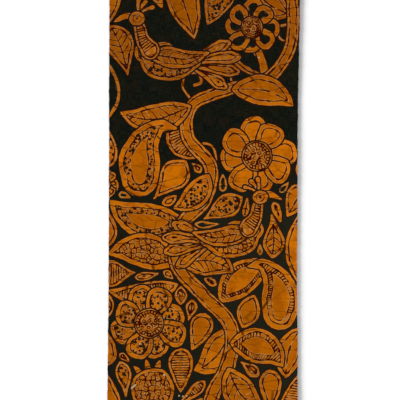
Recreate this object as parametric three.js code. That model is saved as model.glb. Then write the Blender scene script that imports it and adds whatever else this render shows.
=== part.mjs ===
// A length of batik-dyed cotton, laid out on a surface with its face up.
// One sheet, one solid: its outline follows the slightly drawn-in sides of the
// real cloth, its middle lies flat on the surface, its sides and ends stand off
// it by a few millimetres, and a few low swells run along it.
// Millimetres. X across the cloth, Y along it (the head end is +Y), Z up.
// The origin is at the centre of the outline, on the surface it lies on.
import * as THREE from "three";

const LENGTH = 1000; // from end to end
const THICKNESS = 1.5; // of the sheet
const COLUMNS = 24; // facets across
const ROWS = 44; // facets along
const COLUMN_CROWDING = 0.1; // how far the columns gather towards the two sides
const ROW_CROWDING = 0.05; // how far the rows gather towards the two ends

// The two side edges, by the distance along the cloth.
const EDGES = [
  { along: -500, left: -226.8, right: 223.9 },
  { along: -427, left: -226.1, right: 223.7 },
  { along: -332, left: -225.2, right: 224.1 },
  { along: -237, left: -223.9, right: 222.4 },
  { along: -142, left: -223.6, right: 222.5 },
  { along: -47, left: -223.1, right: 223.6 },
  { along: 47, left: -223.1, right: 223.6 },
  { along: 142, left: -222.4, right: 224.0 },
  { along: 237, left: -222.9, right: 225.0 },
  { along: 332, left: -222.3, right: 227.1 },
  { along: 427, left: -221.8, right: 228.8 },
  { along: 500, left: -221.6, right: 229.5 },
];

// How far each side stands off the surface, and how far in from the side the
// rise begins.
const SIDE_RISE = [
  { along: -500, left: 1.8, leftReach: 28, right: 6.6, rightReach: 48 },
  { along: -350, left: 0.8, leftReach: 20, right: 5.4, rightReach: 38 },
  { along: -210, left: 1.5, leftReach: 24, right: 6.2, rightReach: 44 },
  { along: -60, left: 0.7, leftReach: 18, right: 5.3, rightReach: 36 },
  { along: 90, left: 1.2, leftReach: 22, right: 6.0, rightReach: 42 },
  { along: 240, left: 0.8, leftReach: 18, right: 5.2, rightReach: 36 },
  { along: 380, left: 1.4, leftReach: 24, right: 5.8, rightReach: 42 },
  { along: 500, left: 2.2, leftReach: 32, right: 7.0, rightReach: 50 },
];

// How far each end stands off the surface, by the distance across.
const END_RISE = [
  { across: -228, foot: 3.0, head: 3.4 },
  { across: -120, foot: 1.0, head: 0.8 },
  { across: 0, foot: 1.8, head: 1.4 },
  { across: 120, foot: 0.7, head: 1.9 },
  { across: 228, foot: 2.8, head: 3.2 },
];
const END_REACH = 40;

// Low swells where the cloth doesn't lie quite tight: soft ridges with tapered
// ends. turn is from the length of the cloth, anticlockwise.
const SWELLS = [
  { across: -92, along: 296, turn: 14, length: 300, width: 84, height: 1.5 },
  { across: 96, along: 92, turn: -9, length: 360, width: 90, height: 1.3 },
  { across: -64, along: -148, turn: 8, length: 320, width: 80, height: 1.2 },
  { across: 88, along: -318, turn: 16, length: 280, width: 84, height: 1.4 },
];

const clamp01 = (t) => Math.min(1, Math.max(0, t));
const smooth = (t) => t * t * (3 - 2 * t);

// The value of a table's column at a place between its rows, with no corners.
function fromTable(table, key, column, at) {
  let i = 0;
  while (i < table.length - 2 && at > table[i + 1][key]) i++;
  const a = table[i], b = table[i + 1];
  const t = smooth(clamp01((at - a[key]) / (b[key] - a[key])));
  return a[column] + (b[column] - a[column]) * t;
}

// How far the sheet's underside stands off the surface at one place.
function rise(x, y) {
  const left = fromTable(EDGES, "along", "left", y);
  const right = fromTable(EDGES, "along", "right", y);
  const side = (name, inward) => {
    const reach = fromTable(SIDE_RISE, "along", name + "Reach", y);
    const t = clamp01(1 - inward / reach);
    return fromTable(SIDE_RISE, "along", name, y) * t * t;
  };
  const end = (name, inward) => {
    const t = clamp01(1 - inward / END_REACH);
    return fromTable(END_RISE, "across", name, x) * t * t;
  };
  let z = Math.hypot(side("left", x - left) + side("right", right - x),
    end("foot", y + LENGTH / 2) + end("head", LENGTH / 2 - y));
  for (const s of SWELLS) {
    const turn = THREE.MathUtils.degToRad(s.turn);
    const dx = x - s.across, dy = y - s.along;
    const u = (dy * Math.cos(turn) - dx * Math.sin(turn)) / (s.length / 2);
    const v = (dx * Math.cos(turn) + dy * Math.sin(turn)) / (s.width / 2);
    z += s.height * smooth(clamp01(1 - Math.abs(v))) * smooth(clamp01(1 - u * u));
  }
  return z;
}

function clothGeometry() {
  const crowd = (t, by) => t - by * Math.sin(2 * Math.PI * t);
  const geometry = new THREE.BoxGeometry(1, 1, 1, COLUMNS, ROWS, 1);
  const at = geometry.getAttribute("position");
  for (let i = 0; i < at.count; i++) {
    const across = crowd(at.getX(i) + 0.5, COLUMN_CROWDING);
    const along = crowd(at.getY(i) + 0.5, ROW_CROWDING);
    const y = (along - 0.5) * LENGTH;
    const left = fromTable(EDGES, "along", "left", y);
    const right = fromTable(EDGES, "along", "right", y);
    const x = left + (right - left) * across;
    at.setXYZ(i, x, y, rise(x, y) + (at.getZ(i) > 0 ? THICKNESS : 0));
  }
  geometry.computeVertexNormals();
  return geometry;
}

const cloth = new THREE.Mesh(
  clothGeometry(),
  new THREE.MeshStandardMaterial({ color: 0xa65f12, roughness: 0.92, metalness: 0 }),
);
cloth.name = "batik_cloth";

// The outline's centre goes to the origin.
const box = new THREE.Box3().setFromBufferAttribute(cloth.geometry.getAttribute("position"));
cloth.position.set(-(box.min.x + box.max.x) / 2, -(box.min.y + box.max.y) / 2, -box.min.z);

const group = new THREE.Group();
group.add(cloth);
export default group;
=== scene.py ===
"""A length of batik-dyed cotton, laid out face up.

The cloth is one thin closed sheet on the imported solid's form. Its pattern is a
generic one: a winding vine with leaves, flowers, fruit, paisleys and birds. Each
motif is an outline with its own coordinates. At every vertex the sheet keeps how
far inside a motif it lies and where in that motif it is, and the material draws
the wax lines, fillings, crackle and dye from those. Sizes of the design are in
millimetres on the flat cloth, everything else is in metres.
"""
import bpy
import math
import numpy as np
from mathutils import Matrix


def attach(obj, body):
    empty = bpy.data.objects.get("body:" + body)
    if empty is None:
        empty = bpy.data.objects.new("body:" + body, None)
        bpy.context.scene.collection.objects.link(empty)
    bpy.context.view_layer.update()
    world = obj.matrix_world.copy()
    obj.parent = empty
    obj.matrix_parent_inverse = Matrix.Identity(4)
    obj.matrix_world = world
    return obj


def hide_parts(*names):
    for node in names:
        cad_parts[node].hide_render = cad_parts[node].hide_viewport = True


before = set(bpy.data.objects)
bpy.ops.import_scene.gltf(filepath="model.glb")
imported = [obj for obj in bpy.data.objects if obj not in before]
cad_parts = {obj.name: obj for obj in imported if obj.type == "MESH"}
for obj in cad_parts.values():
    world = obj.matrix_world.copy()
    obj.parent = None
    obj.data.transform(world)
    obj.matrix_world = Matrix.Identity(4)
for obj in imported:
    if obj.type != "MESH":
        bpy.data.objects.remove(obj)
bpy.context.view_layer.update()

# ---------------------------------------------------------------- the sheet

LENGTH = 1.000
SHEET = 0.0010           # thickness of the visible cloth
COLUMNS, ROWS = 143, 312  # cells of the sheet's mesh
SHIFT_X = -0.00135       # the solid's outline is centred on the origin

EDGES = np.array([       # along, left, right
    (-500, -226.8, 223.9), (-427, -226.1, 223.7), (-332, -225.2, 224.1), (-237, -223.9, 222.4),
    (-142, -223.6, 222.5), (-47, -223.1, 223.6), (47, -223.1, 223.6), (142, -222.4, 224.0),
    (237, -222.9, 225.0), (332, -222.3, 227.1), (427, -221.8, 228.8), (500, -221.6, 229.5)]) / 1000
SIDE_RISE = np.array([   # along, left, its reach, right, its reach
    (-500, 1.8, 28, 6.6, 48), (-350, 0.8, 20, 5.4, 38), (-210, 1.5, 24, 6.2, 44), (-60, 0.7, 18, 5.3, 36),
    (90, 1.2, 22, 6.0, 42), (240, 0.8, 18, 5.2, 36), (380, 1.4, 24, 5.8, 42), (500, 2.2, 32, 7.0, 50)]) / 1000
END_RISE = np.array([    # across, foot, head
    (-228, 3.0, 3.4), (-120, 1.0, 0.8), (0, 1.8, 1.4), (120, 0.7, 1.9), (228, 2.8, 3.2)]) / 1000
END_REACH = 0.040
SWELLS = [               # across, along, turn, length, width, height
    (-92, 296, 14, 300, 84, 1.5), (96, 92, -9, 360, 90, 1.3),
    (-64, -148, 8, 320, 80, 1.2), (88, -318, 16, 280, 84, 1.4)]


def smooth(t):
    return t * t * (3 - 2 * t)


def from_table(table, column, at):
    i = np.clip(np.searchsorted(table[:, 0], at, side="right") - 1, 0, len(table) - 2)
    t = smooth(np.clip((at - table[i, 0]) / (table[i + 1, 0] - table[i, 0]), 0, 1))
    return table[i, column] * (1 - t) + table[i + 1, column] * t


def rise(x, y):
    """How far the sheet's underside stands off the surface."""
    left, right = from_table(EDGES, 1, y), from_table(EDGES, 2, y)

    def side(column, inward):
        t = np.clip(1 - inward / from_table(SIDE_RISE, column + 1, y), 0, 1)
        return from_table(SIDE_RISE, column, y) * t * t

    def end(column, inward):
        t = np.clip(1 - inward / END_REACH, 0, 1)
        return from_table(END_RISE, column, x) * t * t

    z = np.hypot(side(1, x - left) + side(3, right - x), end(1, y + LENGTH / 2) + end(2, LENGTH / 2 - y))
    for across, along, turn, length, width, height in SWELLS:
        c, s = math.cos(math.radians(turn)), math.sin(math.radians(turn))
        dx, dy = x - across / 1000, y - along / 1000
        u = (dy * c - dx * s) / (length / 2000)
        v = (dx * c + dy * s) / (width / 2000)
        z = z + height / 1000 * smooth(np.clip(1 - np.abs(v), 0, 1)) * smooth(np.clip(1 - u * u, 0, 1))
    return z


# ---------------------------------------------------------------- the design

HALF_W, HALF_L = 229.0, 500.0
FAR = -24.0   # distance kept where no motif is near
GAP = 3.7     # dark line left round a motif that lies over another
NEAR = 7.8    # motifs closer than this never share a layer
LAYERS = 22

(PLAIN, BLOBS, HATCH, VEINS, BEADS, SCALES, ECHO, SCROLLS, EYE, STRIPES, COMB, DASHES, PEBBLES, FRINGE, DROPS,
 SOLID, RIB) = range(17)


def spline(points, n=12, closed=False):
    p = np.asarray(points, float)
    if len(p) == 2 and not closed:
        t = np.linspace(0, 1, n + 1)[:, None]
        return p[0] * (1 - t) + p[1] * t
    q = np.vstack([p[-1], p, p[:2]]) if closed else np.vstack([2 * p[0] - p[1], p, 2 * p[-1] - p[-2]])
    t = np.linspace(0, 1, n, endpoint=False)[:, None]
    out = []
    for i in range(len(q) - 3):
        a, b, c, d = q[i:i + 4]
        out.append(0.5 * (2 * b + (c - a) * t + (2 * a - 5 * b + 4 * c - d) * t ** 2
                          + (3 * b - a - 3 * c + d) * t ** 3))
    out = np.vstack(out)
    return out if closed else np.vstack([out, p[-1]])


def arc_length(c):
    return np.concatenate([[0], np.cumsum(np.hypot(*np.diff(c, axis=0).T))])


def profile(table, t):
    """Smooth values between a short table's (place, value) rows, with no lumps."""
    k = np.asarray(table, float)
    x, y = k[:, 0], k[:, 1]
    h, dy = np.diff(x), np.diff(y) / np.diff(x)
    m = np.zeros(len(x))
    if len(x) > 2:
        w1, w2 = 2 * h[1:] + h[:-1], h[1:] + 2 * h[:-1]
        with np.errstate(divide="ignore", invalid="ignore"):
            mid = (w1 + w2) / (w1 / dy[:-1] + w2 / dy[1:])
        m[1:-1] = np.where(dy[:-1] * dy[1:] > 0, mid, 0)
    m[0] = 1.5 * dy[0] - 0.5 * m[1]
    m[-1] = 1.5 * dy[-1] - 0.5 * m[-2]
    i = np.clip(np.searchsorted(x, t, side="right") - 1, 0, len(x) - 2)
    f = np.clip((t - x[i]) / h[i], 0, 1)
    return ((2 * f ** 3 - 3 * f ** 2 + 1) * y[i] + (f ** 3 - 2 * f ** 2 + f) * h[i] * m[i]
            + (3 * f ** 2 - 2 * f ** 3) * y[i + 1] + (f ** 3 - f ** 2) * h[i] * m[i + 1])


def ribbon_outline(c, w):
    """Closed outline of a curve with a half-width at each of its points."""
    d = np.gradient(c, axis=0)
    d /= np.maximum(np.hypot(*d.T), 1e-9)[:, None]
    across = np.stack([-d[:, 1], d[:, 0]], 1)
    left, right = c + across * w[:, None], c - across * w[:, None]
    round_off = np.linspace(0, math.pi, 9)[1:-1]
    parts = [left]
    for end, half in ((-1, w[-1]), (0, w[0])):
        if half > 1.2:
            a = math.atan2(across[end, 1], across[end, 0]) - round_off + (0 if end else math.pi)
            parts.append(c[end] + half * np.stack([np.cos(a), np.sin(a)], 1))
        if end:
            parts.append(right[::-1])
    return np.vstack(parts)


def inside_distance(p, outline):
    """Distance to a closed outline, positive inside it."""
    a, e = outline, np.roll(outline, -1, axis=0) - outline
    b = a + e
    ee = np.maximum((e ** 2).sum(1), 1e-9)
    best, odd = np.empty(len(p)), np.empty(len(p), bool)
    for i in range(0, len(p), 4000):
        q = p[i:i + 4000]
        w = q[:, None, :] - a[None]
        t = np.clip((w * e[None]).sum(2) / ee[None], 0, 1)
        r = w - t[..., None] * e[None]
        best[i:i + 4000] = (r ** 2).sum(2).min(1)
        up = (a[None, :, 1] <= q[:, None, 1]) != (b[None, :, 1] <= q[:, None, 1])
        cross = e[None, :, 0] * w[..., 1] - e[None, :, 1] * w[..., 0]
        side = np.where(e[None, :, 1] > 0, cross > 0, cross < 0)
        odd[i:i + 4000] = np.count_nonzero(up & side, axis=1) % 2 == 1
    d = np.sqrt(best)
    return np.where(odd, d, -d)


def spine_place(p, c):
    """Place along a curve, and signed distance from it."""
    s = arc_length(c)
    a, e = c[:-1], np.diff(c, axis=0)
    ee = np.maximum((e ** 2).sum(1), 1e-9)
    u, v = np.empty(len(p)), np.empty(len(p))
    for i in range(0, len(p), 4000):
        q = p[i:i + 4000]
        w = q[:, None, :] - a[None]
        t = np.clip((w * e[None]).sum(2) / ee[None], 0, 1)
        r = w - t[..., None] * e[None]
        d2 = (r ** 2).sum(2)
        k, j = d2.argmin(1), np.arange(len(q))
        cross = e[k, 0] * w[j, k, 1] - e[k, 1] * w[j, k, 0]
        u[i:i + 4000] = s[k] + t[j, k] * np.sqrt(ee[k])
        v[i:i + 4000] = np.sign(cross) * np.sqrt(d2[j, k])
    return u, v


class Motif:
    def __init__(self, outline, spine=None, centre=None, turn=0.0, stroke=None,
                 pat=PLAIN, band=7.0, core=PLAIN, deep=99.0):
        self.outline, self.spine, self.stroke = outline, spine, stroke
        self.centre = np.asarray(centre if centre is not None else outline.mean(0), float)
        self.turn = math.radians(turn)
        self.look = (pat, core, band, deep)
        self.lo, self.hi = outline.min(0), outline.max(0)

    def distance(self, p):
        if self.stroke is not None:
            c, w = self.stroke
            u, v = spine_place(p, c)
            return np.interp(u, arc_length(c), w) - np.abs(v)
        return inside_distance(p, self.outline)

    def place(self, p):
        if self.spine is not None:
            return spine_place(p, self.spine)
        q = p - self.centre
        c, s = math.cos(self.turn), math.sin(self.turn)
        return q[:, 0] * c + q[:, 1] * s, -q[:, 0] * s + q[:, 1] * c


class Design:
    """Motifs in painting order, back to front."""

    def __init__(self):
        self.motifs = []
        self.frames = [(0.0, 0.0, 1.0, 0.0, 1.0)]

    def at(self, x, y, size=1.0, turn=0.0, mirror=1.0):
        self.frames.append((x, y, size, math.radians(turn), mirror))
        return self

    def __enter__(self):
        return self

    def __exit__(self, *a):
        self.frames.pop()

    def world(self, pts):
        x, y, k, a, m = self.frames[-1]
        p = np.asarray(pts, float).reshape(-1, 2) * [m, 1.0] * k
        c, s = math.cos(a), math.sin(a)
        return np.stack([x + p[:, 0] * c - p[:, 1] * s, y + p[:, 0] * s + p[:, 1] * c], 1)

    def along(self, pts, widths, n):
        c = spline(self.world(pts), n)
        t = arc_length(c)
        if callable(widths):
            return c, widths(t / t[-1])
        if not isinstance(widths[0], (tuple, list)):
            widths = list(zip(np.linspace(0, 1, len(widths)), widths))
        return c, profile(widths, t / t[-1])

    def keep(self, m):
        self.motifs.append(m)
        return m

    def ribbon(self, pts, widths, n=12, **look):
        c, w = self.along(pts, widths, n)
        return self.keep(Motif(ribbon_outline(c, w * self.frames[-1][2]), spine=c, **look))

    def stroke(self, pts, widths, n=12, **look):
        c, w = self.along(pts, widths, n)
        w = w * max(self.frames[-1][2], 0.75)
        return self.keep(Motif(ribbon_outline(c, w), spine=c, stroke=(c, w), band=99.0, **look))

    def shape(self, pts, n=8, **look):
        return self.keep(Motif(spline(self.world(pts), n, closed=True),
                               turn=math.degrees(self.frames[-1][3]), **look))

    def disc(self, x, y, r, ry=None, turn=0.0, **look):
        a = np.linspace(0, 2 * math.pi, 36, endpoint=False)
        q = np.stack([r * np.cos(a), (r if ry is None else ry) * np.sin(a)], 1)
        c, s = math.cos(math.radians(turn)), math.sin(math.radians(turn))
        q = np.stack([x + q[:, 0] * c - q[:, 1] * s, y + q[:, 0] * s + q[:, 1] * c], 1)
        return self.keep(Motif(self.world(q), centre=self.world([(x, y)])[0], **look))


def leaf(d, base, tip, bow=0.0, width=30.0, fat=0.45, **look):
    a, b = np.asarray(base, float), np.asarray(tip, float)
    t = b - a
    n = np.array([-t[1], t[0]])
    pts = [a, a + t * 0.25 + n * bow * 0.62, a + t * 0.5 + n * bow, a + t * 0.78 + n * bow * 0.72, b]
    k = math.log(0.5) / math.log(fat)
    return d.ribbon(pts, lambda q: width * np.sin(math.pi * q ** k) ** 0.88 + 1.6 * (1 - q) + 0.2, n=14, **look)


def flower(d, x, y, r, petals=8, turn=0.0, wide=1.0, petal_look=None, heart=0.27, heart_look=None):
    petal = dict(pat=VEINS, band=5.5)
    petal.update(petal_look or {})
    middle = dict(pat=COMB, band=2.6, core=SCROLLS, deep=r * heart * 0.42)
    middle.update(heart_look or {})
    w = r * math.sin(math.pi / petals) * 0.88 * wide
    for i in list(range(0, petals, 2)) + list(range(1, petals, 2)):
        a = math.radians(turn + 360 * i / petals + (3 if i % 2 else -2))
        k = 1.0 + 0.06 * math.sin(i * 2.3 + x)
        c, s = math.cos(a), math.sin(a)
        pts = [(x + c * r * q * k - s * o * r, y + s * r * q * k + c * o * r)
               for q, o in ((0.16, 0), (0.45, 0.015), (0.75, -0.01), (1.0, 0.02))]
        full = 0.66 + 0.05 * math.sin(i * 4.1 + y)
        d.ribbon(pts, lambda q: w * np.where(q < full, 0.36 + 0.64 * np.sin(np.clip(q / full, 0, 1) * math.pi / 2) ** 1.3,
                                             np.sqrt(np.clip(1 - ((q - full) / (1 - full)) ** 2, 0.0002, 1)) ** 0.85),
                 n=16, **petal)
    d.disc(x, y, r * heart * 1.42, **middle)


def bird(d, x, y, size=1.0, turn=0.0, mirror=1.0, body=BLOBS, wing=VEINS):
    with d.at(x, y, size, turn, mirror):
        d.ribbon([(104, 112), (122, 110), (146, 96)], [(0, 8), (0.5, 6.5), (1, 1.4)], pat=PLAIN, band=99)
        for tip in ((68, 150), (86, 156), (50, 136)):
            d.stroke([(84, 114), ((84 + tip[0]) / 2 + 3, (114 + tip[1]) / 2 + 3), tip], [2.6, 2.6, 5.0])
        for tip, mid in (((-142, -62), (-100, -34)), ((-146, 50), (-104, 30)),
                         ((-172, -22), (-112, -14)), ((-174, 16), (-112, 10))):
            d.ribbon([(-48, -4), mid, tip], [(0, 7), (0.45, 11), (0.84, 16), (1, 8)], pat=ECHO, band=6.5)
        d.ribbon([(64, 20), (30, 2), (-15, -8), (-66, -2)], [(0, 28), (0.3, 48), (0.65, 40), (1, 13)],
                 pat=body, band=8)
        d.ribbon([(46, 14), (4, 10), (-42, 6), (-98, 24)], [(0, 12), (0.3, 26), (0.62, 21), (1, 2)],
                 pat=wing, band=7)
        d.ribbon([(52, 26), (72, 52), (80, 78), (86, 98)], [(0, 24), (0.45, 17), (1, 13)], pat=HATCH, band=5.5)
        d.disc(89, 106, 20, 17.5, turn=-8, pat=EYE, band=99)


def paisley(d, x, y, size=1.0, turn=0.0, mirror=1.0, **look):
    own = dict(pat=BLOBS, band=12, core=PLAIN, deep=25)
    own.update(look)
    with d.at(x, y, size, turn, mirror):
        return d.ribbon([(0, 0), (-3, 46), (8, 92), (40, 128), (78, 126)],
                        [(0, 44), (0.22, 50), (0.5, 36), (0.78, 17), (1, 3)], **own)


def fruit(d, x, y, r, turn=0.0, **look):
    own = dict(pat=SCROLLS, band=8)
    own.update(look)
    with d.at(x, y, 1.0, turn):
        for a in (-26, 0, 26):
            c, s = math.sin(math.radians(a)), math.cos(math.radians(a))
            d.ribbon([(c * r * 0.8, s * r * 0.8), (c * r * 1.1, s * r * 1.1), (c * r * 1.5, s * r * 1.42)],
                     [(0, 7), (0.5, 6), (1, 1)], pat=PLAIN, band=99)
        d.shape([(0, -r), (r * 0.74, -r * 0.76), (r * 1.02, -r * 0.05), (r * 0.72, r * 0.74), (0, r * 0.95),
                 (-r * 0.74, r * 0.70), (-r, -r * 0.02), (-r * 0.72, -r * 0.78)], **own)


def sort_layers(d, spacing=3.2):
    """What lies over another motif goes above it, and near ones never share a layer."""
    xs = np.arange(-HALF_W - 6, HALF_W + 6, spacing)
    ys = np.arange(-HALF_L - 6, HALF_L + 6, spacing)
    p = np.stack([g.ravel() for g in np.meshgrid(xs, ys)], 1)
    top = np.full(len(p), -1)
    taken = [np.zeros(len(p), bool) for _ in range(LAYERS + 12)]
    for m in d.motifs:
        idx = np.flatnonzero(np.all((p > m.lo - 14) & (p < m.hi + 14), axis=1))
        s = m.distance(p[idx]) if len(idx) else np.zeros(0)
        own, wide = idx[s > -GAP - 1.0], idx[s > -NEAR]
        m.layer = int(top[own].max()) + 1 if len(own) else 0
        while m.layer < LAYERS + 11 and taken[m.layer][wide].any():
            m.layer += 1
        taken[m.layer][wide] = True
        top[own] = np.maximum(top[own], m.layer)
    most = max(m.layer for m in d.motifs) + 1
    if most > LAYERS:
        raise ValueError(f"the design needs {most} layers")
    return most


def fill_gaps(d, least=8.5, clear=4.0, step=4.0, margin=4.0, most=230):
    """Small leaves and discs where much ground is left open, fewer towards the head."""
    xs = np.arange(-HALF_W - margin, HALF_W + margin + 1, step)
    ys = np.arange(-HALF_L - margin, HALF_L + margin + 1, step)
    p = np.stack([g.ravel() for g in np.meshgrid(xs, ys)], 1)
    gap = np.full(len(p), 60.0)
    nx, ny = len(xs), len(ys)
    airy = 33.0 * smooth(np.clip((p[:, 1] - 70) / 120, 0, 1)) * (1 - 0.6 * smooth(np.clip((p[:, 1] - 410) / 60, 0, 1)))

    def take(m):
        idx = np.flatnonzero(np.all((p > m.lo - 62) & (p < m.hi + 62), axis=1))
        if len(idx):
            gap[idx] = np.minimum(gap[idx], -m.distance(p[idx]))

    def at(q):
        i = np.clip(np.round((q[:, 0] - xs[0]) / step).astype(int), 0, nx - 1)
        j = np.clip(np.round((q[:, 1] - ys[0]) / step).astype(int), 0, ny - 1)
        return gap[j * nx + i]

    for m in d.motifs:
        take(m)
    for n in range(most):
        k = int((gap - airy).argmax())
        if gap[k] - airy[k] < least + clear:
            break
        c, r = p[k], gap[k]
        rr = r - clear - airy[k] * 0.2
        h = (math.sin(n * 12.9898 + c[0] * 0.37 + c[1] * 0.11) * 43758.5453) % 1.0
        before = len(d.motifs)

        def reach(a):
            q, t = 0.0, np.array([[math.cos(a), math.sin(a)]])
            while q < 120 and abs(c[0] + t[0, 0] * q) < HALF_W + 8 and at(c + t * (q + step))[0] > max(clear + 1.0, r * 0.24):
                q += step
            return q

        span, a = max(((reach(a) + reach(a + math.pi)) * (1 + 0.3 * math.sin(a)), a)
                      for a in np.linspace(0, math.pi, 18, endpoint=False))
        t = np.array([math.cos(a), math.sin(a)])
        if rr > 27 and span < 2.2 * r:
            flower(d, c[0], c[1], rr, petals=6, turn=h * 60)
        elif rr > 7.5 and span > 1.45 * r:
            l1, l2 = min(reach(a) + rr * 0.4, 95), min(reach(a + math.pi) + rr * 0.4, 95)
            l1, l2 = l2, l1
            if h > 0.5:
                t, l1, l2 = -t, l2, l1
            look = [dict(pat=RIB, band=7.0), dict(pat=PLAIN, band=5.5, core=SOLID, deep=max(9.5, rr * 0.55)),
                    dict(pat=BLOBS, band=6.0), dict(pat=HATCH, band=6.0), dict(pat=PLAIN, band=7.0),
                    dict(pat=BLOBS, band=6.0), dict(pat=PLAIN, band=6.5), dict(pat=PEBBLES, band=6.0),
                    dict(pat=SOLID, band=7.5), dict(pat=VEINS, band=6.5)][int(h * 9.7 + n) % 10]
            if rr < 11:
                look = [dict(pat=SOLID, band=4.5), dict(pat=VEINS, band=99), dict(pat=PLAIN, band=5.0),
                        dict(pat=HATCH, band=4.5)][int(h * 7.3 + n) % 4]
            for shrink in (1.0, 0.92, 0.84, 0.76, 0.68, 0.6, 0.52):
                m = leaf(d, c - t * l1 * shrink, c + t * l2 * shrink, bow=(h - 0.5) * 0.12,
                         width=min(rr, 36) * min(1.0, shrink * 1.12), fat=min(max(l1 / (l1 + l2), 0.32), 0.66), **look)
                if at(m.outline).min() > clear * 0.62:
                    break
                d.motifs.pop()
        elif rr > 16:
            d.disc(c[0], c[1], rr, pat=SCROLLS, band=5)
        elif rr > 9:
            d.disc(c[0], c[1], rr, pat=EYE, band=99)
        else:
            d.disc(c[0], c[1], rr, pat=PLAIN, band=99)
        for m in d.motifs[before:]:
            take(m)
        gap[k] = min(gap[k], 0.0)


LEAVES_BEHIND = [  # base, tip, bow, width, look
    ((205, 440), (120, 505), 0.10, 30, dict(pat=RIB, band=9)),
    ((-44, -50), (-222, 0), 0.14, 42, dict(pat=BLOBS, band=11, core=PLAIN, deep=25)),
    ((-60, -150), (-225, -128), -0.12, 40, dict(pat=PEBBLES, band=11)),
    ((66, -300), (-22, -405), 0.14, 38, dict(pat=RIB, band=12)),
    ((24, -470), (-60, -540), 0.1, 34, dict(pat=PLAIN, band=9)),
    ((150, 290), (30, 352), -0.16, 30, dict(pat=PLAIN, band=7, core=SOLID, deep=15)),
    ((40, -240), (170, -150), 0.10, 38, dict(pat=FRINGE, band=9, core=PLAIN, deep=17)),
    ((-20, 100), (-70, 196), 0.14, 26, dict(pat=HATCH, band=7)),
    ((196, -420), (236, -300), 0.10, 30, dict(pat=RIB, band=8)),
    ((-60, -200), (-226, -214), 0.10, 26, dict(pat=HATCH, band=7)),
]
LEAVES_OVER = [
    ((-50, -150), (72, -172), 0.14, 34, dict(pat=VEINS, band=8)),
    ((66, -340), (190, -395), 0.16, 40, dict(pat=HATCH, band=9, core=PLAIN, deep=20)),
    ((60, -400), (150, -500), -0.14, 36, dict(pat=VEINS, band=10)),
    ((14, 60), (-70, -20), 0.12, 28, dict(pat=BLOBS, band=8)),
    ((70, 262), (215, 222), 0.12, 34, dict(pat=RIB, band=11)),
    ((-30, 222), (-196, 208), 0.14, 34, dict(pat=VEINS, band=8)),
]
VINE = [(30, -545), (20, -470), (60, -390), (66, -300), (0, -225), (-62, -150), (-50, -60), (4, 0),
        (18, 80), (-36, 150), (-24, 225), (60, 262), (150, 286), (202, 350), (214, 440), (200, 545)]
TENDRILS = [
    [(-30, 240), (-48, 268), (-40, 296), (-12, 300), (-4, 280), (-20, 272)],
    [(70, 270), (60, 300), (30, 312), (8, 298), (14, 280)],
    [(8, 60), (30, 90), (24, 124), (2, 134), (-8, 118)],
    [(206, 372), (182, 384), (178, 408), (196, 416)],
]


def compose():
    d = Design()
    for points in TENDRILS:
        d.stroke(points, [2.6, 2.2, 3.0], pat=PLAIN)
    for base, tip, bow, width, look in LEAVES_BEHIND:
        leaf(d, base, tip, bow, width, **look)
    d.ribbon([(150, 286), (140, 330), (124, 372)], [(0, 9), (1, 7)], pat=PLAIN, band=99)
    d.ribbon(VINE, [(0, 17), (0.4, 16), (0.7, 14), (1, 13)], n=14, pat=PLAIN, band=5.5)
    for base, tip, bow, width, look in LEAVES_OVER:
        leaf(d, base, tip, bow, width, **look)
    flower(d, 128, 104, 90, turn=10, petal_look=dict(pat=PLAIN, band=10))
    flower(d, -128, -292, 88, turn=20, petal_look=dict(pat=BLOBS, band=9.5))
    flower(d, 116, 410, 64, turn=0, petal_look=dict(pat=PLAIN, band=12, core=SOLID, deep=12))
    paisley(d, -150, 52, 0.98, turn=-4, deep=27)
    paisley(d, 182, -268, 0.9, turn=2, mirror=-1, pat=HATCH, core=PLAIN, deep=22)
    fruit(d, -120, -448, 50, turn=12, pat=PEBBLES)
    bird(d, -78, 330, 0.92, turn=-2, mirror=-1)
    bird(d, 64, -92, 0.88, turn=4, mirror=1, body=PEBBLES)
    fill_gaps(d)
    return d


def fields(d, p, most, reach=14.0):
    """For each layer and point: (S, u, v) and (code, band, deep) of the nearest motif."""
    S = np.full((most, len(p)), FAR)
    place = np.zeros((most, len(p), 3), np.float32)
    look = np.zeros((most, len(p), 3), np.float32)
    place[:, :, 0] = FAR
    for i, m in enumerate(d.motifs):
        idx = np.flatnonzero(np.all((p > m.lo - reach) & (p < m.hi + reach), axis=1))
        if not len(idx):
            continue
        s = m.distance(p[idx])
        win = s > S[m.layer, idx]
        j = idx[win]
        S[m.layer, j] = s[win]
        u, v = m.place(p[j])
        pat, core, band, deep = m.look
        place[m.layer, j] = np.stack([s[win], u, v], 1)
        look[m.layer, j] = (pat * 100 + core + 0.05 + 0.9 * ((i * 0.6180339) % 1.0), band, deep)
    return place, look


# ---------------------------------------------------------------- the mesh

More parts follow.
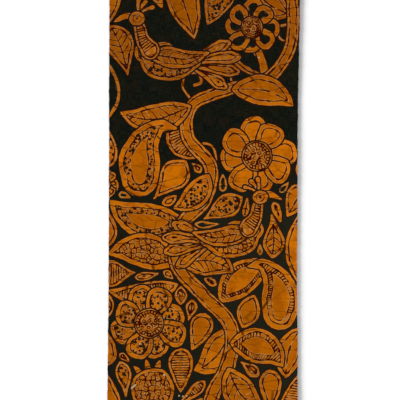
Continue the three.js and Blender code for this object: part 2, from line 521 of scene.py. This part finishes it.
def sheet_mesh():
    """Top and underside on one grid of columns and rows, closed round the rim."""
    nx, ny = COLUMNS + 1, ROWS + 1
    across, along = np.meshgrid(np.linspace(0, 1, nx), np.linspace(0, 1, ny))
    y = (along - 0.5) * LENGTH
    left, right = from_table(EDGES, 1, y), from_table(EDGES, 2, y)
    x = left + (right - left) * across
    # The cut edges wander by a few tenths of a millimetre.
    edge = 0.00028 * (np.sin(y * 210 + 1.1) + 0.7 * np.sin(y * 87 + 0.4) + 0.5 * np.sin(y * 431))
    x = x + edge * np.where(across < 0.5, (1 - 2 * across) ** 6, -((2 * across - 1) ** 6))
    ends = 0.00030 * (np.sin(x * 190 + 0.3) + 0.6 * np.sin(x * 71 + 2.0) + 0.5 * np.sin(x * 397 + 1.0))
    y = y + ends * np.where(along < 0.5, (1 - 2 * along) ** 12, -((2 * along - 1) ** 12))
    low = rise(x, y)
    # Slight unevenness of washed cotton, on the upper face only where it lies.
    soft = (0.00010 * np.sin(x * 61 + y * 23 + 0.7) * np.sin(y * 47 - x * 19 + 1.9)
            + 0.00006 * np.sin(x * 140 - y * 95) * np.sin(y * 120 + x * 60 + 0.6))
    top = np.stack([x + SHIFT_X, y, low + SHEET + soft], -1).reshape(-1, 3)
    bottom = np.stack([x + SHIFT_X, y, low], -1).reshape(-1, 3)
    n = nx * ny
    k = np.arange(n).reshape(ny, nx)
    a, b, c, e = (k[:-1, :-1].ravel(), k[:-1, 1:].ravel(), k[1:, 1:].ravel(), k[1:, :-1].ravel())
    faces = [np.stack([a, b, c, e], 1), np.stack([a, e, c, b], 1) + n]
    rim = np.concatenate([k[0, :], k[1:, -1], k[-1, -2::-1], k[-2:0:-1, 0]])
    nxt = np.roll(rim, -1)
    faces.append(np.stack([rim + n, nxt + n, nxt, rim], 1))
    corners = np.concatenate(faces)
    verts = np.concatenate([top, bottom])

    me = bpy.data.meshes.new("batik_cloth_sheet")
    me.vertices.add(len(verts))
    me.vertices.foreach_set("co", verts.astype(np.float32).ravel())
    me.loops.add(corners.size)
    me.loops.foreach_set("vertex_index", corners.astype(np.int32).ravel())
    me.polygons.add(len(corners))
    me.polygons.foreach_set("loop_start", np.arange(0, corners.size, 4, dtype=np.int32))
    me.update(calc_edges=True)
    me.validate()
    me.shade_smooth()
    me.set_sharp_from_angle(angle=math.radians(40))

    # A bake map: the upper face on the left half, the underside on the right,
    # the rim's strips between and beside them.
    s, t = across.ravel(), along.ravel()
    uv = np.concatenate([np.stack([0.012 + 0.468 * s, 0.012 + 0.976 * t], 1),
                         np.stack([0.988 - 0.468 * s, 0.012 + 0.976 * t], 1)])
    at = uv[corners]
    m = len(rim)
    q = np.linspace(0.004, 0.996, m + 1)
    strip = np.empty((m, 4, 2))
    strip[:, :, 1] = np.stack([q[:-1], q[1:], q[1:], q[:-1]], 1)
    strip[:, :, 0] = [0.4955, 0.4955, 0.5045, 0.5045]
    at[-m:] = strip
    layer = me.uv_layers.new(name="OFBake")
    layer.uv.foreach_set("vector", at.astype(np.float32).ravel())
    flat = np.stack([x.ravel() * 1000, y.ravel() * 1000], 1)
    return me, flat


# ---------------------------------------------------------------- the material

def lin(r, g, b):
    """Linear colour of an sRGB one from 0 to 255."""
    return tuple(c / 12.92 if c <= 0.04045 else ((c + 0.055) / 1.055) ** 2.4 for c in (r / 255, g / 255, b / 255))


class Graph:
    """Short words for building a node tree."""

    def __init__(self, tree):
        self.tree = tree
        self.coords = self.node("ShaderNodeTexCoord").outputs["Object"]

    def node(self, kind, **props):
        n = self.tree.nodes.new(kind)
        for k, v in props.items():
            setattr(n, k, v)
        return n

    def put(self, socket, value):
        if isinstance(value, Val):
            self.tree.links.new(value.socket, socket)
        elif isinstance(value, bpy.types.NodeSocket):
            self.tree.links.new(value, socket)
        else:
            socket.default_value = value

    def math(self, op, a, b=None, c=None, clamp=False):
        n = self.node("ShaderNodeMath", operation=op, use_clamp=clamp)
        for i, v in enumerate((a, b, c)):
            if v is not None:
                self.put(n.inputs[i], v)
        return Val(self, n.outputs[0])

    def xyz(self, x, y, z=0.0):
        n = self.node("ShaderNodeCombineXYZ")
        for i, v in enumerate((x, y, z)):
            self.put(n.inputs[i], v)
        return n.outputs[0]

    def part(self, vector, axis):
        """One component of a vector, in less room than a separating node takes."""
        n = self.node("ShaderNodeVectorMath", operation="DOT_PRODUCT")
        self.tree.links.new(vector, n.inputs[0])
        n.inputs[1].default_value = [float(i == axis) for i in range(3)]
        return Val(self, n.outputs["Value"])

    def split(self, vector):
        return [self.part(vector, i) for i in range(3)]

    def cloth(self, x=0.0, y=0.0, sx=1.0, sy=1.0):
        """Place on the cloth in millimetres, scaled and then moved."""
        n = self.node("ShaderNodeMapping")
        self.tree.links.new(self.coords, n.inputs["Vector"])
        n.inputs["Scale"].default_value = (1000.0 * sx, 1000.0 * sy, 1000.0)
        n.inputs["Location"].default_value = (x, y, 0.0)
        return n.outputs["Vector"]

    def attribute(self, name):
        return self.node("ShaderNodeAttribute", attribute_type="GEOMETRY", attribute_name=name).outputs["Vector"]

    def pick(self, factor, a, b):
        """a where factor is 0, b where it is 1, for vectors."""
        n = self.node("ShaderNodeMix", data_type="VECTOR", factor_mode="UNIFORM", clamp_factor=True)
        self.put(n.inputs["Factor"], factor)
        self.tree.links.new(a, n.inputs[4])
        self.tree.links.new(b, n.inputs[5])
        return n.outputs[1]

    def blend(self, factor, a, b, kind="MIX"):
        n = self.node("ShaderNodeMix", data_type="RGBA", blend_type=kind, clamp_factor=True)
        self.put(n.inputs["Factor"], factor)
        for i, v in ((6, a), (7, b)):
            if isinstance(v, tuple):
                n.inputs[i].default_value = (*v, 1.0)
            else:
                self.put(n.inputs[i], v)
        return n.outputs[2]

    def ramp(self, value, low, high, a=0.0, b=1.0):
        """From a below low to b above high, smoothly."""
        n = self.node("ShaderNodeMapRange", interpolation_type="SMOOTHSTEP", clamp=True)
        for name, v in (("Value", value), ("From Min", low), ("From Max", high), ("To Min", a), ("To Max", b)):
            self.put(n.inputs[name], v)
        return Val(self, n.outputs["Result"])

    def noise(self, vector, scale, detail=2.0, rough=0.5, lump=0.0):
        n = self.node("ShaderNodeTexNoise", noise_dimensions="2D")
        self.tree.links.new(vector, n.inputs["Vector"])
        n.inputs["Scale"].default_value = scale
        n.inputs["Detail"].default_value = detail
        n.inputs["Roughness"].default_value = rough
        n.inputs["Distortion"].default_value = lump
        return Val(self, n.outputs["Fac"])

    def cells(self, vector, scale, feature="F1", spread=0.85):
        n = self.node("ShaderNodeTexVoronoi", voronoi_dimensions="2D", feature=feature)
        self.tree.links.new(vector, n.inputs["Vector"])
        n.inputs["Scale"].default_value = scale
        n.inputs["Randomness"].default_value = spread
        return Val(self, n.outputs["Distance"]), (n.outputs["Color"] if feature == "F1" else None)


class Val:
    """A number in a node tree."""

    def __init__(self, g, socket):
        self.g, self.socket = g, socket

    def __add__(self, o): return self.g.math("ADD", self, o)
    __radd__ = __add__
    def __sub__(self, o): return self.g.math("SUBTRACT", self, o)
    def __rsub__(self, o): return self.g.math("SUBTRACT", o, self)
    def __mul__(self, o): return self.g.math("MULTIPLY", self, o)
    __rmul__ = __mul__
    def __truediv__(self, o): return self.g.math("DIVIDE", self, o)
    def __gt__(self, o): return self.g.math("GREATER_THAN", self, o)
    def __lt__(self, o): return self.g.math("LESS_THAN", self, o)
    def abs(self): return self.g.math("ABSOLUTE", self)
    def frac(self): return self.g.math("FRACT", self)
    def floor(self): return self.g.math("FLOOR", self)
    def max(self, o): return self.g.math("MAXIMUM", self, o)
    def min(self, o): return self.g.math("MINIMUM", self, o)
    def sqrt(self): return self.g.math("SQRT", self)
    def inv(self): return self.g.math("SUBTRACT", 1.0, self)


def dye_material(most):
    mat = bpy.data.materials.new("batik_cotton")
    mat.use_nodes = True
    tree = mat.node_tree
    tree.nodes.clear()
    g = Graph(tree)
    P = g.cloth()

    # The hand that draws: outlines wander a little.
    wander = (g.noise(P, 1 / 30, 1.0) - 0.5) * 3.0 + (g.noise(P, 1 / 7.5, 1.0) - 0.5) * 1.2

    # The frontmost motif at this spot, and how far the dark line round one in front is.
    spot, look = g.attribute("lay0a"), g.attribute("lay0b")
    near = None
    for k in range(1, most):
        a, b = g.attribute(f"lay{k}a"), g.attribute(f"lay{k}b")
        away = g.part(a, 0) * -1.0 - wander - GAP
        here = away < 0.0
        spot, look = g.pick(here, spot, a), g.pick(here, look, b)
        near = (away if near is None else near.min(away)).max(here * 99.0)
    s, u, v = g.split(spot)
    code, band, deep = g.split(look)
    s = s + wander
    band = band + (g.noise(g.cloth(900.0), 1 / 34, 0.0) - 0.5) * 5.0
    whole = code.floor()
    seed = (code - whole - 0.05) / 0.9
    pat = (whole / 100.0).floor()
    core = whole - pat * 100.0

    # Uneven pressure, and places where a drawn line fails.
    press = (g.noise(P, 1 / 15, 1.0) - 0.5) * 3.8
    fail = g.ramp(g.noise(g.cloth(-240.0, 90.0), 1 / 21, 1.0), 0.60, 0.68) * 2.6
    jig = (g.noise(P, 1 / 11, 1.0) - 0.5) * 3.0
    jig2 = (g.noise(g.cloth(610.0, 40.0), 1 / 13, 1.0) - 0.5) * 3.0
    absv = v.abs()
    px, py = g.part(g.coords, 0) * 1000.0, g.part(g.coords, 1) * 1000.0

    def line(distance, half):
        """How far off a line of that half-width, below 0 on it."""
        return distance - (press + half)

    def lines(x, period, half):
        return line(((x / period).frac() - 0.5).abs() * period, half)

    def hyp(a, b):
        return (a * a + b * b).sqrt()

    tiny = (g.noise(P, 1 / 3.4, 0.0) - 0.5) * 2.2
    bent = g.xyz(px + jig + tiny, py + jig2 - tiny)
    d1, c1 = g.cells(g.xyz(px + jig + tiny * 1.7, py + jig2 - tiny * 1.7), 1 / 8.6, spread=0.95)
    r1, r1b = g.part(c1, 0), g.part(c1, 1)
    dist1 = d1 * 8.6
    blob = dist1 - r1b * 2.4 - 2.25 - press * 0.8
    blob = blob + (r1 < 0.07) * 20.0
    blob = blob.max((1.6 - dist1) * (r1 > 0.84) - (r1 < 0.84) * 20.0)
    d2, _ = g.cells(bent, 1 / 16.5, spread=0.7)
    edge2, _ = g.cells(bent, 1 / 11.5, feature="DISTANCE_TO_EDGE", spread=0.9)
    d3, c3 = g.cells(bent, 1 / 11.5, spread=0.9)
    r3 = g.part(c3, 0)
    pebble = (edge2 * 11.5 - 1.35 - press * 0.7).min(d3 * 11.5 - 1.5 + (r3 < 0.45) * 20.0)

    d4, c4 = g.cells(g.xyz(u * 0.34 + seed * 90.0, v + jig * 0.8), 1 / 11.0, spread=0.75)
    r4 = g.part(c4, 0)
    drop = d4 * 11.0 - r4 * 1.4 - 1.0 - press * 0.5 + (r4 < 0.35) * 20.0

    row = (u / 8.8).floor()
    shifted = v + (row - (row / 2.0).floor() * 2.0) * 6.2
    scale_u = (u / 8.8 - row) * 8.8
    scale_v = ((shifted / 12.4).frac() - 0.5) * 12.4
    bead_u = ((u / 9.6).frac() - 0.5) * 9.6
    radius = hyp(u, v)
    angle = g.math("ARCTAN2", v, u) * (180 / math.pi)
    broken = lines(v + jig * 0.5, 9.0, 1.15)
    dash = ((u / 19.0 + ((v + jig * 0.5) / 9.0).floor() * 0.37).frac() - 0.5).abs() * 19.0
    fills = {
        BLOBS: blob,
        HATCH: lines(u + jig * 0.8, 6.0, 1.35),
        VEINS: (lines(u - absv * 0.75 + jig * 0.7, 15.0, 1.4) + fail * 0.6).min(line((v + jig * 0.3).abs(), 1.7)),
        BEADS: (hyp(bead_u, v) * -1.0 + 3.3).max(absv - 6.0),
        SCALES: line((hyp(scale_u, scale_v) - 7.4).abs(), 1.05),
        ECHO: lines(s - band + 4.2, 8.4, 1.35) + fail * 0.5,
        SCROLLS: lines(d2 * 16.5 - 0.4, 5.8, 1.3) + (d2 * 16.5 < 1.4) * 20.0,
        EYE: line(radius, 3.6).min(line((radius - 9.4).abs(), 1.2)),
        STRIPES: lines(v + jig * 0.6, 10.8, 1.4) + fail,
        COMB: lines(angle, 15.0, 3.4) * (radius / 57.0),
        DASHES: broken.max(dash - 7.0),
        PEBBLES: pebble,
        FRINGE: lines(u + jig * 0.5, 5.9, 1.75),
        DROPS: drop,
        SOLID: -4.0,
        RIB: line((v + jig * 0.5).abs(), 1.6) + fail * 0.7,
    }
    zone = pat + (core - pat) * (s > deep)
    fill = (zone < 0.5) * 99.0
    for k, off in fills.items():
        fill = fill + g.math("COMPARE", zone, float(k), 0.5) * off
    free = band + (band > 50.0) * -97.6
    fill = fill.max((s - free) * -1.0 + 1.0)
    outline = line((s - band).abs(), 1.5).min(line((s - deep).abs(), 1.2))

    # How far the nearest dark is, below 0 on it, and its edge, sharper or softer.
    off = s.min(near).min(outline).min(fill)
    melt = g.noise(g.cloth(60.0, 800.0), 1 / 26, 1.0) * 0.7 + 0.10
    ink = g.ramp(off, melt * -1.0, melt, 1.0, 0.0)
    full = g.math("COMPARE", zone, float(BLOBS), 0.5) * 0.6 + g.math("COMPARE", zone, float(SOLID), 0.5) * 2.2
    ground = g.ramp(off - full, -2.6, -1.3, 1.0, 0.0)

    # Crackle: hairlines where the wax broke, mostly across the cloth, and long
    # straighter ones where it was folded over while it was stiff.
    warp = g.xyz(px * 0.50 + jig * 1.3, py * 1.10 + jig2 * 1.3)
    e1, _ = g.cells(warp, 1 / 32, feature="DISTANCE_TO_EDGE", spread=1.0)
    e2, _ = g.cells(g.xyz(px * 0.8 + jig2 * 1.2 + 71.0, py * 0.62 + jig * 1.2), 1 / 30,
                    feature="DISTANCE_TO_EDGE", spread=1.0)
    e3, _ = g.cells(g.xyz(px * 0.24 + py * 0.05 + 11.0, py + px * 0.06 + jig * 0.7), 1 / 27,
                    feature="DISTANCE_TO_EDGE", spread=1.0)
    faint = g.noise(P, 1 / 34, 1.0)
    faint2 = g.noise(g.cloth(300.0, -120.0), 1 / 30, 1.0)
    faint3 = g.noise(g.cloth(-410.0, 330.0), 1 / 24, 1.0)
    crack = g.ramp(e1 * 32.0, 0.20, 0.95, 1.0, 0.0) * g.ramp(faint, 0.44, 0.58) * 0.45
    crack = crack.max(g.ramp(e2 * 30.0, 0.12, 0.70, 1.0, 0.0) * g.ramp(faint2, 0.50, 0.60) * 0.45)
    tick = g.ramp(e3 * 27.0, 0.35, 1.20, 1.0, 0.0) * g.ramp(faint3, 0.38, 0.50, 0.25, 1.0)
    crack = crack.max(tick * g.ramp(s, 5.0, 22.0, 1.0, 0.45))

    # Threads: slubs that run across and along.
    across = g.noise(g.cloth(sx=0.055, sy=1.05), 1.0, 2.0, 0.6)
    along = g.noise(g.cloth(y=40.0, sx=1.05, sy=0.055), 1.0, 2.0, 0.6)
    weave = (across + along) * 0.5
    cloud = g.noise(P, 1 / 48, 3.0, 0.55)
    cloud2 = g.noise(g.cloth(500.0), 1 / 12, 2.0, 0.5)
    cloud3 = g.noise(g.cloth(0.0, -700.0), 1 / 22, 2.0, 0.5)

    # Dye.
    orange = g.blend(g.ramp(cloud, 0.36, 0.62), lin(160, 79, 2), lin(182, 94, 2))
    orange = g.blend(g.ramp(cloud2, 0.52, 0.70) * 0.5, orange, lin(154, 74, 3))
    orange = g.blend(g.ramp(cloud3, 0.54, 0.70) * 0.45, orange, lin(169, 94, 4))
    orange = g.blend(g.ramp(seed, 0.80, 0.86) * 0.35, orange, lin(156, 81, 3))
    inner = g.ramp(s - band, 0.0, 2.0) * g.ramp((seed * 7.0).frac(), 0.45, 0.60)
    orange = g.blend(inner * 0.45, orange, lin(150, 76, 2))
    orange = g.blend((inner * -1.0 + 1.0) * g.ramp(cloud, 0.42, 0.60) * 0.42, orange, lin(199, 110, 6))
    orange = g.blend(g.ramp(weave, 0.40, 0.62) * 0.25, orange, lin(189, 107, 6))
    halo = g.ramp(off, 0.2, 2.2, 1.0, 0.0) * g.ramp(cloud2, 0.40, 0.60, 0.12, 0.95)
    orange = g.blend(halo, orange, lin(189, 131, 64))
    dark = g.blend(g.ramp(cloud, 0.35, 0.7), lin(10, 14, 11), lin(15, 17, 9))
    dark = g.blend(g.ramp(cloud3, 0.50, 0.72) * 0.6, dark, lin(27, 19, 11))
    # The ground is painted lighter towards the foot. It is also lighter towards the raised right side, as painted
    # light falling on that side.
    lighter_foot_and_lit_right = g.ramp(py, -60.0, 110.0, 1.0, 0.0) * g.ramp(px, -200.0, 210.0, 0.40, 0.90)
    dark = g.blend(lighter_foot_and_lit_right, dark, lin(28, 28, 19))
    dark = g.blend(g.ramp(weave, 0.46, 0.64) * 0.6, dark, lin(38, 38, 29))
    line_dye = g.blend(g.ramp(cloud2, 0.4, 0.7), lin(50, 3, 0), lin(68, 8, 0))
    dark = g.blend(ground, line_dye, dark)
    orange = g.blend(g.ramp(py, 170.0, 310.0), orange, (0.74, 0.76, 0.95), "MULTIPLY")
    orange = g.blend(g.ramp(py, -40.0, 60.0, 1.0, 0.0), orange, (0.935, 0.965, 1.0), "MULTIPLY")
    colour = g.blend(crack * 0.85, orange, lin(62, 24, 1))
    colour = g.blend(ink, colour, dark)

    # Specks where no dye took.
    pale = None
    for x, y, r in ((-93.6, -414.7, 2.2), (-150.7, -341.0, 1.9), (-58.0, -464.0, 1.7), (-49.0, -465.5, 1.8),
                    (-40.0, -464.5, 1.6), (131.0, 338.0, 1.4)):
        one = hyp(px - x, py - y) - r
        pale = one if pale is None else pale.min(one)
    along_it, across_it = (px + 166.0) * 0.77 + (py + 442.0) * 0.64, (py + 442.0) * 0.77 - (px + 166.0) * 0.64
    pale = pale.min(hyp(across_it, (along_it.abs() - 5.5).max(0.0)) - 1.9)
    pale = g.ramp(pale + jig * 0.5 + tiny * 0.35, -0.5, 0.7, 1.0, 0.0)
    colour = g.blend(pale * 0.8, colour, lin(186, 168, 128))

    shader = g.node("ShaderNodeBsdfPrincipled")
    tree.links.new(colour, shader.inputs["Base Color"])
    g.put(shader.inputs["Roughness"], g.ramp(weave + ink * 0.06, 0.3, 0.75, 0.94, 0.78))
    shader.inputs["Specular IOR Level"].default_value = 0.0

    bump = g.node("ShaderNodeBump")
    bump.inputs["Strength"].default_value = 0.55
    bump.inputs["Distance"].default_value = 0.0004
    g.put(bump.inputs["Height"], weave + cloud2 * 0.35 - crack * 0.15)
    tree.links.new(bump.outputs["Normal"], shader.inputs["Normal"])
    out = g.node("ShaderNodeOutputMaterial")
    tree.links.new(shader.outputs["BSDF"], out.inputs["Surface"])
    return mat


# ---------------------------------------------------------------- the stage

def camera_and_lights():
    cam = bpy.data.cameras.new("camera")
    cam.lens, cam.sensor_width = 250.0, 36.0
    cam.clip_start, cam.clip_end = 0.05, 50.0
    ob = bpy.data.objects.new("camera", cam)
    frame_side = 0.948               # what the picture shows, edge to edge
    ob.location = (-0.00711 + SHIFT_X, 0.0, frame_side * 250.0 / 36.0 + 0.002)
    bpy.context.scene.collection.objects.link(ob)
    bpy.context.scene.camera = ob

    sun = bpy.data.lights.new("key", "SUN")
    sun.energy, sun.angle = 3.08, math.radians(30)
    key = bpy.data.objects.new("key", sun)
    key.rotation_euler = (0.0, math.radians(-60.5), math.radians(-6))
    bpy.context.scene.collection.objects.link(key)

    world = bpy.data.worlds.new("room")
    world.use_nodes = True
    world.node_tree.nodes["Background"].inputs["Color"].default_value = (1.0, 1.0, 1.0, 1.0)
    world.node_tree.nodes["Background"].inputs["Strength"].default_value = 0.620
    bpy.context.scene.world = world
    bpy.context.scene.view_settings.view_transform = "Standard"

    me = bpy.data.meshes.new("floor")
    me.from_pydata([(-6, -6, 0), (6, -6, 0), (6, 6, 0), (-6, 6, 0)], [], [(0, 1, 2, 3)])
    floor = bpy.data.objects.new("floor", me)
    floor.location.z = -0.0002
    bpy.context.scene.collection.objects.link(floor)
    mat = bpy.data.materials.new("floor_white")
    mat.use_nodes = True
    shader = mat.node_tree.nodes["Principled BSDF"]
    shader.inputs["Base Color"].default_value = (0.93, 0.93, 0.93, 1.0)
    shader.inputs["Roughness"].default_value = 0.9
    shader.inputs["Specular IOR Level"].default_value = 0.1
    me.materials.append(mat)


camera_and_lights()
design = compose()
most = sort_layers(design)
mesh, flat = sheet_mesh()
place, look = fields(design, flat, most)
for k in range(most):
    for suffix, values in (("a", place[k]), ("b", look[k])):
        layer = mesh.attributes.new(f"lay{k}{suffix}", "FLOAT_VECTOR", "POINT")
        layer.data.foreach_set("vector", np.concatenate([values, values]).ravel())
mesh.materials.append(dye_material(most))
cloth = bpy.data.objects.new("batik_cloth_sheet", mesh)
bpy.context.scene.collection.objects.link(cloth)
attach(cloth, "root")
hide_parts("batik_cloth")

bpy.context.view_layer.update()
